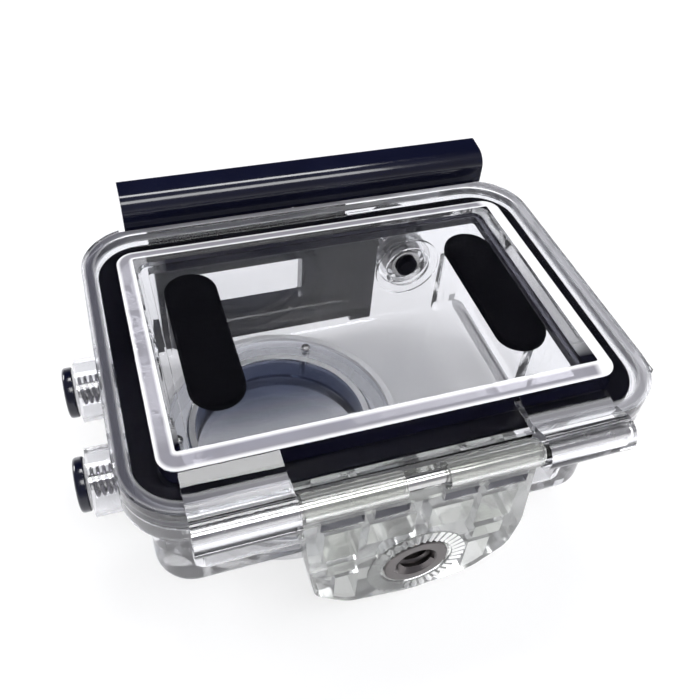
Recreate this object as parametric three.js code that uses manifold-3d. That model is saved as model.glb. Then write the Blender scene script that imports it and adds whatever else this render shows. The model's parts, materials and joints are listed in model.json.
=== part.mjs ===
// Clear dive housing for a small action camera, lying on its lens port with the back door up.
// Millimetres. +X runs along the housing to its right end, +Y to the edge that carries the latch,
// and +Z out of the back door. Heights are first given from the outer face of the door's rim,
// and the last lines stand the whole housing on z = 0, centred on its own outline.
import * as THREE from 'three';
import { mergeVertices } from 'three/addons/utils/BufferGeometryUtils.js';
import Module from 'manifold-3d';

const wasm = await Module();
wasm.setup();

// Driving dimensions
const gap = 0.3; // between pieces that touch
const overrun = 1; // how far a cutter passes the face that it opens
const footing = 0.5; // how far a joined feature is rooted in the piece that carries it

const door = {
  rimSides: 8.5, rimEnds: 8, // rim beyond the cavity, at the ends and along the long edges
  corner: 9.5, thick: 3, edge: 0.5,
  windowInSides: 5.4, windowInEnds: 6.7, windowCorner: 2.9, windowRise: 0.8, windowBevel: 2.7,
  plugWall: 1.2, plugDrop: 1.5, plugRoom: 0.4,
  lean: 0.9, // how far the far edge leans in under the latch lip
  tabLength: 3.4, tabReach: 1.7, tabFromNear: 9.2,
};
const shell = {
  cavityWidth: 62, cavityHeight: 42, cavityCorner: 2.2, cavityDepth: 26,
  floor: 2.3, wall: 2.5, sideBulge: 3, corner: 6, flange: 2.9, fold: 2.6,
  ribRadius: 1.2, ribTop: 12, ribAlong: 26, ribFromNear: 16.5,
};
const seal = { insetSides: 2.3, insetEnds: 2.8, corner: 7.2, band: 3.6, thick: 1.6, edge: 0.4 };
const port = {
  trim: 1.3, // how much of the lens ring the cavity's left wall cuts off
  reach: 7.7, // how far the tube stands out of the floor
  beside: 1.5, // from the tube's outside to the cavity's long walls
  wall: 3.2, lip: 2, lipWide: 1.9, sealSection: 0.6, glassThick: 2,
  ringRoom: 0.7, ringWall: 1.4, ringThick: 0.7, ringRim: 1.1, ringRimRise: 0.8,
  screwHead: 0.9, screwHeadThick: 0.7, screwShank: 0.5, screwLength: 4.5,
};
const screwAngles = [60, 180, 300];
const pad = {
  width: 8.4, length: 28.4, corner: 4.15, thick: 1.5, edge: 0.3,
  leftAt: -23.6, leftUp: 2.7, rightAt: 24.8, rightUp: 1.8,
};
const hinge = {
  out: 2.75, // axis beyond the door's near edge
  centre: -1.4, // the hinge sits a little to the left of the middle
  below: 0.3, barrel: 2.7, footBarrel: 2, pin: 1, halfLength: 30.4, knuckle: 16.6, slot: 3, sideGap: 0.6,
  webRise: 1.3, webReach: 5.8, webBevel: 0.5,
};
const foot = {
  face: 3.4, // front face beyond the door's near edge
  top: 1, waist: 16.6, waistAt: 17, hip: 15.6, hipAt: 23.5,
  toe: 10.3, toeAt: 28.3, bottom: 30, slotHigh: 1.9, slotDeep: 2.6, slotAt: 4.1,
  slotCentre: -0.5, innerSlotFrom: 2.5, innerSlotWide: 5, outerSlotFrom: 9, outerSlotWide: 6,
  coreWide: 3.6, coreDeep: 9, coreAt: 10.6, coreThick: 4, coreWall: 1.7,
  teeth: 36, toothInner: 5.7, toothOuter: 7.7, toothWide: 0.62, toothHigh: 0.45,
};
const insert = { at: 21.2, radius: 5, bore: 2.6, length: 7.6, proud: 0.2, chamfer: 0.5 };
const latch = {
  armLeft: 28, armRight: 8, armThick: 2.8, flangeRoom: 0.4, pivotAt: 25.3, barrel: 2.6, pin: 1,
  windowLeft: 20.9, windowRight: 1.4, windowTop: 11.1, windowBottom: 20.6,
  jogFrom: 10.4, jogTo: 7.8, armTop: 3.6,
  tongueLeft: 18, tongueRight: 2, tongueThick: 1.7, knuckle: 1.7, lipEnd: 0.3,
  barLeft: 31.6, barRight: 34.3, lipDrop: 2.6, lipWall: 0.9, barRidge: 5.1, barPeak: 5.9,
  barDeep: 6.4, barUnder: 1.6, barRound: 0.6, barPinOut: 3, barPinUp: 0.4, barPin: 0.8, pinIn: 4,
  earWide: 2.9, postWide: 4.1, earOut: 2, earChamfer: 1.6, earDrop: 2.1, plate: 0.7,
  plateRise: 2.9, plateDrop: 0.6,
};
const button = {
  collar: 5.2, collarBore: 4.45, collarShort: 2, boss: 2.6, glandFloor: 0.9, gland: 2.5, bore: 1.5,
  innerRing: 6.2, innerRingBore: 4.4, innerRingRise: 0.6, recess: 3.8, recessDepth: 1.2,
  shaft: 1.2, cap: 4.15, capThick: 1.6, capEdge: 0.35,
  washerThick: 0.5, washer: 3.9, clip: 2.9, clipThick: 0.5, tip: 2, tipThick: 0.9,
  oRing: 0.35, coil: 2.1, wire: 0.22, pitch: 0.95,
};
const shutterButton = { fromEnd: 13, down: 13.6, reach: 10.6 };
const sideButton = { across: 9.2, down: 16.2, reach: 12.1 };

// Sizes and places worked out from them
const doorWidth = shell.cavityWidth + 2 * door.rimSides;
const doorHeight = shell.cavityHeight + 2 * door.rimEnds;
const sealWidth = doorWidth - 2 * seal.insetSides;
const sealHeight = doorHeight - 2 * seal.insetEnds;
const portDepth = shell.cavityDepth + shell.floor + port.reach;
const portOuter = shell.cavityHeight / 2 - port.beside;
const portBore = portOuter - port.wall;
const portMouth = portBore - port.lipWide;
const ringReach = shell.cavityHeight / 2 - port.ringRoom;
const portLeft = shell.cavityWidth / 2 - ringReach + port.trim;
const screwCircle = portBore + port.screwHead + port.screwShank;
const flangeTop = -door.thick - gap;
const flangeBottom = flangeTop - shell.flange;
const floorTop = -shell.cavityDepth;
const floorBottom = floorTop - shell.floor;
const nearEdge = -doorHeight / 2;
const farEdge = doorHeight / 2;
const hingeY = nearEdge - hinge.out;
const hingeZ = -hinge.below;
const wallX = shell.cavityWidth / 2 + shell.wall;
const wallY = shell.cavityHeight / 2 + shell.wall;
const bodyX = wallX + shell.sideBulge; // the end walls are thicker round the buttons
const glassRadius = portBore - gap;
const lipTop = -portDepth + port.lip;
const glassBottom = lipTop + gap + 2 * port.sealSection + gap;
const glassTop = glassBottom + port.glassThick;
const ringBottom = floorTop + gap;
const shutterX = shell.cavityWidth / 2 - shutterButton.fromEnd;
const sideY = sideButton.across;
const buttonStations = [
  { name: 'shutter', x: shutterX, y: wallY, out: [0, 1, 0], ...shutterButton },
  { name: 'upper_side', x: -wallX, y: sideY, out: [-1, 0, 0], ...sideButton },
  { name: 'lower_side', x: -wallX, y: -sideY, out: [-1, 0, 0], ...sideButton },
];

// Making and joining solids
function solid(geometry) {
  const bare = geometry.clone();
  bare.deleteAttribute('normal');
  bare.deleteAttribute('uv');
  const merged = mergeVertices(bare);
  const position = merged.attributes.position;
  const index = merged.index.array;
  const triangles = [];
  let volume = 0;
  const [a, b, c] = [new THREE.Vector3(), new THREE.Vector3(), new THREE.Vector3()];
  for (let i = 0; i < index.length; i += 3) {
    const [p, q, r] = [index[i], index[i + 1], index[i + 2]];
    if (p === q || q === r || r === p) continue;
    triangles.push(p, q, r);
    a.fromBufferAttribute(position, p);
    b.fromBufferAttribute(position, q);
    c.fromBufferAttribute(position, r);
    volume += a.dot(b.cross(c));
  }
  if (volume < 0) triangles.reverse();
  return new wasm.Manifold(new wasm.Mesh({
    numProp: 3,
    vertProperties: new Float32Array(position.array),
    triVerts: new Uint32Array(triangles),
  }));
}

function geometryOf(body) {
  const mesh = body.getMesh();
  const geometry = new THREE.BufferGeometry();
  geometry.setAttribute('position', new THREE.BufferAttribute(new Float32Array(mesh.vertProperties), 3));
  geometry.setIndex(new THREE.BufferAttribute(new Uint32Array(mesh.triVerts), 1));
  geometry.computeVertexNormals();
  return geometry;
}

const join = (first, ...others) => others.reduce((sum, next) => sum.add(next), first);
const cut = (first, ...others) => others.reduce((rest, next) => rest.subtract(next), first);

// Basic forms, each a closed solid
function roundedOutline(width, height, corner, Path = THREE.Shape) {
  const [x, y] = [width / 2, height / 2];
  const path = new Path();
  path.moveTo(x, -y + corner);
  path.lineTo(x, y - corner);
  path.absarc(x - corner, y - corner, corner, 0, Math.PI / 2);
  path.lineTo(-x + corner, y);
  path.absarc(-x + corner, y - corner, corner, Math.PI / 2, Math.PI);
  path.lineTo(-x, -y + corner);
  path.absarc(-x + corner, -y + corner, corner, Math.PI, 1.5 * Math.PI);
  path.lineTo(x - corner, -y);
  path.absarc(x - corner, -y + corner, corner, 1.5 * Math.PI, 2 * Math.PI);
  return path;
}

function extruded(shape, low, high, edge = 0, edgeSteps = 2) {
  const geometry = new THREE.ExtrudeGeometry(shape, {
    depth: high - low - 2 * edge,
    curveSegments: 6,
    bevelEnabled: edge > 0,
    bevelThickness: edge,
    bevelSize: edge,
    bevelOffset: -edge,
    bevelSegments: edgeSteps,
  });
  return geometry.translate(0, 0, low + edge);
}

const plate = (width, height, corner, low, high, edge) =>
  solid(extruded(roundedOutline(width, height, corner), low, high, edge));

function frame(width, height, corner, band, low, high, edge) {
  const shape = roundedOutline(width, height, corner);
  shape.holes.push(roundedOutline(width - 2 * band, height - 2 * band, corner - band, THREE.Path));
  return solid(extruded(shape, low, high, edge, 1));
}

function block(x0, x1, y0, y1, z0, z1) {
  const geometry = new THREE.BoxGeometry(x1 - x0, y1 - y0, z1 - z0);
  return solid(geometry.translate((x0 + x1) / 2, (y0 + y1) / 2, (z0 + z1) / 2));
}

// A section drawn in Y and Z, run along X
function alongX(points, x0, x1) {
  const shape = new THREE.Shape(points.map(([y, z]) => new THREE.Vector2(y, z)));
  const turn = new THREE.Matrix4().makeBasis(
    new THREE.Vector3(0, 1, 0), new THREE.Vector3(0, 0, 1), new THREE.Vector3(1, 0, 0));
  return solid(extruded(shape, x0, x1).applyMatrix4(turn));
}

// A section drawn in X and Z, run along Y
function alongY(points, y0, y1, edge = 0) {
  const shape = new THREE.Shape(points.map(([x, z]) => new THREE.Vector2(x, z)));
  const turn = new THREE.Matrix4().makeBasis(
    new THREE.Vector3(1, 0, 0), new THREE.Vector3(0, 0, 1), new THREE.Vector3(0, -1, 0));
  return solid(extruded(shape, -y1, -y0, edge, 1).applyMatrix4(turn));
}

function rod(radius, from, to, sides = 24) {
  const start = new THREE.Vector3(...from);
  const way = new THREE.Vector3(...to).sub(start);
  const geometry = new THREE.CylinderGeometry(radius, radius, way.length(), sides);
  const turn = new THREE.Quaternion().setFromUnitVectors(
    new THREE.Vector3(0, 1, 0), way.clone().normalize());
  geometry.applyQuaternion(turn);
  const middle = start.addScaledVector(way, 1 / 2);
  return solid(geometry.translate(middle.x, middle.y, middle.z));
}

const rodAlongX = (radius, x0, x1, y, z, sides) => rod(radius, [x0, y, z], [x1, y, z], sides);
const rodAlongZ = (radius, z0, z1, x, y, sides) => rod(radius, [x, y, z0], [x, y, z1], sides);

// A section in radius and height, turned about the local Y axis; it closes on itself
function turned(points, sides = 32) {
  const profile = points.map(([r, h]) => new THREE.Vector2(r, h));
  return new THREE.LatheGeometry([...profile, profile[0]], sides);
}

const ringSection = (inner, outer, low, high) =>
  [[inner, low], [outer, low], [outer, high], [inner, high]];

function roundSection(middle, section, height, steps = 8) {
  return Array.from({ length: steps }, (_, k) => {
    const turn = 2 * Math.PI * k / steps;
    return [middle + section * Math.cos(turn), height + section * Math.sin(turn)];
  });
}

// Materials
const finish = (color, roughness, metalness = 0, opacity = 1) =>
  new THREE.MeshStandardMaterial({ color, roughness, metalness, opacity, transparent: opacity < 1 });
const clearPlastic = () => finish(0xdfe4ea, 0.05, 0, 0.35);
const cloudyPlastic = () => finish(0xb4b9b0, 0.2, 0, 0.6);
const lensGlass = () => finish(0x5a6c8c, 0.02, 0, 0.5);
const blackPlastic = () => finish(0x07070a, 0.12);
const blackRubber = () => finish(0x0b0b12, 0.45);
const blackFoam = () => finish(0x050507, 0.95);
const steel = () => finish(0xb9b8b4, 0.25, 1);
const darkNickel = () => finish(0x75706c, 0.3, 1);

const housing = new THREE.Group();

function add(name, body, material, parent = housing) {
  const mesh = new THREE.Mesh(body.getMesh ? geometryOf(body) : body, material);
  mesh.name = name;
  parent.add(mesh);
  return mesh;
}

// The local frame of a button: its Y axis points outwards from the wall's outer face
function buttonPlace(station) {
  const turn = new THREE.Quaternion().setFromUnitVectors(
    new THREE.Vector3(0, 1, 0), new THREE.Vector3(...station.out));
  const at = new THREE.Vector3(station.x, station.y, -station.down);
  return new THREE.Matrix4().compose(at, turn, new THREE.Vector3(1, 1, 1));
}

function inPlace(points, station, sides) {
  return solid(turned(points, sides).applyMatrix4(buttonPlace(station)));
}

function buttonRod(radius, from, to, station, sides) {
  const axis = new THREE.Vector3(...station.out);
  const base = new THREE.Vector3(station.x, station.y, -station.down);
  const at = (height) => base.clone().addScaledVector(axis, height).toArray();
  return rod(radius, at(from), at(to), sides);
}

// Front shell: body, flange, seal groove, lens port and button collars in one moulding
function supportRibs() {
  const [x, y] = [shell.cavityWidth / 2, shell.cavityHeight / 2];
  const places = [[shell.ribAlong, y], [-shell.ribAlong, y], [x, -y + shell.ribFromNear]];
  return places.map(([ribX, ribY]) =>
    rodAlongZ(shell.ribRadius, floorTop - footing, -shell.ribTop, ribX, ribY, 12));
}

function sealGroove() {
  return frame(
    sealWidth + 2 * gap, sealHeight + 2 * gap, seal.corner + gap, seal.band + 2 * gap,
    flangeTop - seal.thick - gap, flangeTop + overrun);
}

function innerRing(station) {
  const inner = -shell.wall - button.innerRingRise;
  return inPlace(ringSection(
    button.innerRingBore, button.innerRing, inner, -shell.wall + footing), station, 32);
}

function buttonBores(station) {
  const recessFloor = -shell.wall + button.recessDepth;
  const inside = -shell.wall - button.innerRingRise - overrun;
  return [
    buttonRod(button.collarBore, button.boss, station.reach, station, 32),
    buttonRod(button.gland, button.glandFloor, button.boss + footing, station, 24),
    buttonRod(button.bore, inside, button.boss, station, 16),
    buttonRod(button.recess, inside, recessFloor, station, 24),
  ];
}

function makeFrontShell() {
  const cavity = plate(
    shell.cavityWidth, shell.cavityHeight, shell.cavityCorner, floorTop, overrun);
  const tube = rodAlongZ(portOuter, -portDepth, floorTop - footing, -portLeft, 0, 48);
  const bore = rodAlongZ(portBore, lipTop, floorTop + overrun, -portLeft, 0, 48);
  const mouth = rodAlongZ(portMouth, -portDepth - overrun, lipTop + overrun, -portLeft, 0, 48);
  const collars = buttonStations.map((station) =>
    buttonRod(button.collar, -shell.wall / 2, station.reach - button.collarShort, station, 32));
  let body = join(
    plate(doorWidth, doorHeight, door.corner, flangeBottom, flangeTop, door.edge),
    plate(2 * bodyX, 2 * wallY, shell.corner, floorBottom, flangeTop - footing, shell.fold),
    tube, ...collars);
  body = join(cut(body, cavity), ...supportRibs(), ...buttonStations.map(innerRing));
  body = cut(body, ...buttonStations.flatMap(buttonBores), sealGroove(), bore, mouth);
  for (const angle of screwAngles) {
    const [x, y] = screwPlace(angle);
    const foot = floorTop - port.screwLength - gap;
    body = cut(body, rodAlongZ(port.screwShank + gap, foot, floorTop + overrun, x, y, 12));
  }
  add('front_shell', body, clearPlastic());
}

// Door seal in the shell's groove
function makeSeal() {
  add('door_seal', frame(
    sealWidth, sealHeight, seal.corner, seal.band, flangeTop - seal.thick, flangeTop, seal.edge),
  blackRubber());
}

// Back door with its raised window, inner plug, hinge lugs and finger tab
function doorLug(side) {
  const rise = hinge.webRise;
  const back = nearEdge + hinge.webReach;
  const x0 = hinge.centre + side * (hinge.knuckle + hinge.sideGap);
  const x1 = hinge.centre + side * hinge.halfLength;
  const [left, right] = [Math.min(x0, x1), Math.max(x0, x1)];
  const web = alongX([
    [hingeY, hingeZ + hinge.barrel], [nearEdge + rise, rise], [back - hinge.webBevel, rise],
    [back, 0], [back, -door.thick / 2], [nearEdge + door.edge, -door.thick],
    [hingeY, hingeZ - hinge.barrel],
  ], left, right);
  return join(web, rodAlongX(hinge.barrel, left, right, hingeY, hingeZ, 24));
}

function makeBackDoor() {
  const room = 2 * door.plugRoom;
  const plug = frame(
    shell.cavityWidth - room, shell.cavityHeight - room, shell.cavityCorner - door.plugRoom,
    door.plugWall, -door.thick - door.plugDrop, -door.thick + footing);
  const bevelled = new THREE.ExtrudeGeometry(
    roundedOutline(
      doorWidth - 2 * door.windowInSides, doorHeight - 2 * door.windowInEnds, door.windowCorner), {
      depth: door.thick / 2,
      curveSegments: 4,
      bevelThickness: door.windowRise,
      bevelSize: door.windowBevel,
      bevelOffset: -door.windowBevel,
      bevelSegments: 1,
    });
  const window = solid(bevelled.translate(0, 0, -door.thick / 2));
  const dovetail = alongX([
    [farEdge + overrun, -latch.lipDrop], [farEdge, -latch.lipDrop],
    [farEdge - door.lean, 0], [farEdge - door.lean, door.thick], [farEdge + overrun, door.thick],
  ], -latch.barLeft - overrun, latch.barRight + overrun);
  const tabAt = nearEdge + door.tabFromNear;
  const tab = alongY([
    [doorWidth / 2 - footing, -door.thick], [doorWidth / 2 - footing, -door.thick / 2],
    [doorWidth / 2 + door.tabReach, -door.thick / 2 - door.edge],
    [doorWidth / 2 + door.tabReach, -door.thick],
  ], tabAt - door.tabLength / 2, tabAt + door.tabLength / 2);
  let body = join(
    plate(doorWidth, doorHeight, door.corner, -door.thick, 0, door.edge),
    plug, window, doorLug(-1), doorLug(1), tab);
  body = cut(body, dovetail, hingeRod(hinge.pin + gap, hinge.halfLength + overrun));
  add('back_door', body, clearPlastic());
}

function makePads() {
  const places = [['left_foam_pad', pad.leftAt, pad.leftUp], ['right_foam_pad', pad.rightAt, pad.rightUp]];
  for (const [name, x, y] of places) {
    const shape = roundedOutline(pad.width, pad.length, pad.corner);
    const high = -door.thick - gap;
    const geometry = extruded(shape, high - pad.thick, high, pad.edge, 1);
    add(name, solid(geometry.translate(x, y, 0)), blackFoam());
  }
}

function hingeRod(radius, halfLength) {
  return rodAlongX(
    radius, hinge.centre - halfLength, hinge.centre + halfLength, hingeY, hingeZ, 16);
}

function makeHingePin() {
  add('hinge_pin', hingeRod(hinge.pin, hinge.halfLength), steel());
}

// Mount foot: the cloudy block with the centre knuckles, below the near edge
function footTeeth(faceY) {
  const tooth = new THREE.Shape([
    new THREE.Vector2(-foot.toothWide / 2, 0), new THREE.Vector2(foot.toothWide / 2, 0),
    new THREE.Vector2(0, foot.toothHigh + gap),
  ]);
  const length = foot.toothOuter - foot.toothInner;
  return Array.from({ length: foot.teeth }, (_, k) => {
    const geometry = new THREE.ExtrudeGeometry(tooth, { depth: length, bevelEnabled: false });
    geometry.translate(0, 0, foot.toothInner);
    geometry.rotateZ(Math.PI);
    geometry.rotateY(2 * Math.PI * k / foot.teeth);
    return solid(geometry.translate(0, faceY + gap, -insert.at));
  });
}

function makeMountFoot() {
  const faceY = nearEdge - foot.face;
  const outline = [
    [hinge.centre - hinge.knuckle, -foot.top], [-foot.waist, -foot.waistAt],
    [-foot.hip, -foot.hipAt], [-foot.toe, -foot.toeAt], [0, -foot.bottom],
    [foot.toe, -foot.toeAt], [foot.hip, -foot.hipAt], [foot.waist, -foot.waistAt],
    [hinge.centre + hinge.knuckle, -foot.top],
  ];
  const flangeRoom = block(
    -doorWidth, doorWidth, nearEdge - gap, 0, flangeBottom - gap, door.thick);
  let body = cut(alongY(outline, faceY, -wallY - gap, gap), flangeRoom);
  const slotSpans = [
    [foot.innerSlotFrom, foot.innerSlotWide], [foot.outerSlotFrom, foot.outerSlotWide],
  ];
  for (const side of [-1, 1]) {
    const ends = [hinge.slot, hinge.knuckle].map((along) => hinge.centre + side * along);
    body = body.add(rodAlongX(
      hinge.footBarrel, Math.min(...ends), Math.max(...ends), hingeY, hingeZ, 24));
    for (const [from, wide] of slotSpans) {
      const sides = [from, from + wide].map((along) => foot.slotCentre + side * along);
      body = cut(body, block(
        Math.min(...sides), Math.max(...sides), faceY - overrun, faceY + foot.slotDeep,
        -foot.slotAt - foot.slotHigh, -foot.slotAt));
    }
    const coreX = side * foot.coreAt;
    const coreY = faceY + foot.coreWall;
    body = cut(body, block(
      coreX - foot.coreWide / 2, coreX + foot.coreWide / 2, coreY, coreY + foot.coreThick,
      -foot.bottom - overrun, -foot.bottom + foot.coreDeep));
  }
  for (const tooth of footTeeth(faceY)) body = body.add(tooth);
  const pocket = insert.length - insert.proud + gap;
  body = cut(
    body,
    rod(insert.radius + gap, [0, faceY - overrun, -insert.at], [0, faceY + pocket, -insert.at], 32),
    hingeRod(hinge.pin + gap, hinge.halfLength));
  add('mount_foot', body, cloudyPlastic());
}

function makeInsert() {
  const faceY = nearEdge - foot.face;
  const low = -insert.length + insert.proud;
  const high = insert.proud;
  const section = [
    [insert.bore, low], [insert.radius, low], [insert.radius, high - insert.chamfer / 2],
    [insert.radius - insert.chamfer / 2, high], [insert.bore + insert.chamfer, high],
    [insert.bore, high - insert.chamfer],
  ];
  const mesh = add('threaded_insert', solid(turned(section, 32)), darkNickel());
  mesh.rotation.x = Math.PI;
  mesh.position.set(0, faceY, -insert.at);
}

// Lens port: O-ring, window, retaining ring and its screws
function screwPlace(angle) {
  const turn = THREE.MathUtils.degToRad(angle);
  return [-portLeft + screwCircle * Math.cos(turn), screwCircle * Math.sin(turn)];
}

function makePort() {
  const lens = new THREE.Group();
  lens.rotation.x = Math.PI / 2;
  lens.position.x = -portLeft;
  housing.add(lens);
  const sealMiddle = (portMouth + glassRadius) / 2 + gap / 2;
  const sealHeight = lipTop + gap + port.sealSection;
  add('lens_seal', solid(turned(
    roundSection(sealMiddle, port.sealSection, sealHeight, 6), 36)), blackRubber(), lens);
  const glassSection = [
    [0, glassBottom], [glassRadius - gap, glassBottom], [glassRadius, glassBottom + gap],
    [glassRadius, glassTop - gap], [glassRadius - gap, glassTop], [0, glassTop],
  ];
  add('lens_window', solid(turned(glassSection, 48)), lensGlass(), lens);
  const ringTop = ringBottom + port.ringThick;
  const inner = glassRadius - port.ringWall;
  const ringSectionPoints = [
    [inner, glassTop + gap], [glassRadius, glassTop + gap], [glassRadius, ringBottom],
    [ringReach, ringBottom], [ringReach, ringTop + port.ringRimRise],
    [ringReach - port.ringRim, ringTop + port.ringRimRise],
    [ringReach - port.ringRim, ringTop], [inner, ringTop],
  ];
  const wallRoom = shell.cavityWidth / 2 - gap - portLeft;
  let ring = cut(solid(turned(ringSectionPoints, 48)), block(
    -shell.cavityWidth, -wallRoom, glassTop, 0, -ringReach, ringReach));
  for (const angle of screwAngles) {
    const turn = THREE.MathUtils.degToRad(angle);
    const x = screwCircle * Math.cos(turn);
    const z = -screwCircle * Math.sin(turn);
    ring = cut(ring, rod(
      port.screwShank + gap, [x, ringBottom - overrun, z], [x, ringTop + overrun, z], 12));
  }
  add('lens_ring', ring, clearPlastic(), lens);
  screwAngles.forEach((angle, number) => {
    const turn = THREE.MathUtils.degToRad(angle);
    const head = ringTop + gap / 2;
    const section = [
      [0, floorTop - port.screwLength], [port.screwShank, floorTop - port.screwLength],
      [port.screwShank, head], [port.screwHead, head],
      [port.screwHead, head + port.screwHeadThick / 2],
      [port.screwShank, head + port.screwHeadThick], [0, head + port.screwHeadThick],
    ];
    const screw = add(`ring_screw_${number + 1}`, solid(turned(section, 16)), steel(), lens);
    screw.position.set(
      screwCircle * Math.cos(turn), 0, -screwCircle * Math.sin(turn));
  });
}

// Latch: bracket on the shell, swinging arm, hooked bar and their pins
const pivotY = wallY + 2 * gap + latch.plate + latch.barrel;
const pivotZ = -latch.pivotAt;
const armInner = pivotY - latch.armThick / 2;
const armOuter = armInner + latch.armThick;
const slopeRoom = 0.05; // the sloped faces stay a full gap apart
const jogInner = farEdge + latch.flangeRoom;
const jogOuter = jogInner + latch.armThick;
const lipFace = farEdge - door.lean + gap;
const barBack = lipFace + latch.barDeep;
const barPinY = lipFace + latch.barPinOut;
const barPinZ = latch.barPinUp;

function makeBracket() {
  const back = wallY + gap;
  const front = pivotY + latch.earOut;
  const slope = latch.earChamfer;
  const [low, high] = [pivotZ - latch.earDrop, pivotZ + latch.plateRise];
  const [left, right] = [-latch.armLeft - gap, latch.armRight + gap];
  const [farLeft, farRight] = [left - latch.earWide, right + latch.postWide];
  const ear = [
    [back, low], [front - slope, low], [front, low + slope], [front, high - slope],
    [front - slope, high], [back, high],
  ];
  const body = join(
    block(farLeft, farRight, back, back + latch.plate, pivotZ - latch.plateDrop, high),
    alongX(ear, farLeft, left), alongX(ear, right, farRight),
    block(right, farRight, back, armOuter, pivotZ, flangeBottom - gap));
  add('latch_bracket', cut(body, rodAlongX(
    latch.pin + gap, farLeft - overrun, farRight + overrun, pivotY, pivotZ, 16)), blackPlastic());
  add('latch_pivot_pin', rodAlongX(
    latch.pin, farLeft, farRight, pivotY, pivotZ, 16), steel());
}

function makeArm() {
  const section = [
    [armInner, pivotZ], [armInner, -latch.jogFrom], [jogInner, -latch.jogTo],
    [jogInner, -latch.armTop], [jogOuter, -latch.armTop], [jogOuter, -latch.jogTo - gap],
    [armOuter, -latch.jogFrom - gap], [armOuter, pivotZ],
  ];
  const tongue = [
    [jogOuter - latch.tongueThick, -latch.armTop - footing], [jogOuter - latch.tongueThick, barPinZ],
    [jogOuter, barPinZ], [jogOuter, -latch.armTop - footing],
  ];
  const body = join(
    alongX(section, -latch.armLeft, latch.armRight),
    rodAlongX(latch.barrel, -latch.armLeft, latch.armRight, pivotY, pivotZ, 24),
    alongX(tongue, -latch.tongueLeft, -latch.tongueRight),
    rodAlongX(latch.knuckle, -latch.tongueLeft, -latch.tongueRight, barPinY, barPinZ, 20));
  const window = block(
    -latch.windowLeft, -latch.windowRight, armInner - overrun, armOuter + latch.barrel,
    -latch.windowBottom, -latch.windowTop);
  add('latch_arm', cut(
    body, window,
    rodAlongX(latch.pin + gap, -latch.armLeft - overrun, latch.armRight + overrun, pivotY, pivotZ, 16),
    rodAlongX(latch.barPin + gap, -latch.tongueLeft - overrun, -latch.tongueRight + overrun,
      barPinY, barPinZ, 16)), blackPlastic());
  add('latch_bar_pin', rodAlongX(
    latch.barPin, -latch.tongueLeft - latch.pinIn, -latch.tongueRight + latch.pinIn,
    barPinY, barPinZ, 16), steel());
}

function makeBar() {
  const lipFoot = farEdge + gap + slopeRoom;
  const round = latch.barRound;
  const section = [
    [lipFace, 0], [lipFace, latch.barRidge - round], [lipFace + round, latch.barRidge],
    [barBack - round, latch.barPeak], [barBack, latch.barPeak - round],
    [barBack - gap, -latch.barUnder / 2], [barBack - gap - round, -latch.barUnder],
    [lipFoot + latch.lipWall, -latch.barUnder], [lipFoot + latch.lipWall, -latch.lipDrop],
    [lipFoot, -latch.lipDrop],
  ];
  const [left, right] = [-latch.tongueLeft - gap, -latch.tongueRight + gap];
  const roof = barPinZ + latch.knuckle + gap;
  const below = -latch.lipDrop - overrun;
  const notches = [
    block(left, right, lipFace + latch.lipWall, barBack + overrun, below, roof),
    block(left, right, lipFace - overrun, barBack + overrun, below, -latch.lipEnd),
  ];
  add('latch_bar', cut(
    alongX(section, -latch.barLeft, latch.barRight), ...notches,
    rodAlongX(latch.barPin + gap, left - latch.pinIn, right + latch.pinIn, barPinY, barPinZ, 16)),
  blackPlastic());
}

// Buttons: each is a cap on a shaft with its O-ring, washer, spring, clip and inner tip
class Coil extends THREE.Curve {
  constructor(radius, low, high, turns) {
    super();
    Object.assign(this, { radius, low, high, turns });
  }

  getPoint(share, target = new THREE.Vector3()) {
    const turn = 2 * Math.PI * this.turns * share;
    const height = this.low + (this.high - this.low) * share;
    return target.set(this.radius * Math.cos(turn), height, this.radius * Math.sin(turn));
  }
}

const stepsPerCurl = 8;
const wireSides = 5;

function leastGap(path, turns) {
  const points = path.getSpacedPoints(Math.round(stepsPerCurl * turns));
  let least = Infinity;
  points.forEach((point, i) => {
    for (let j = i + stepsPerCurl / 2; j < points.length; j += 1) {
      least = Math.min(least, point.distanceTo(points[j]) - 2 * button.wire);
    }
  });
  return least;
}

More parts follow.
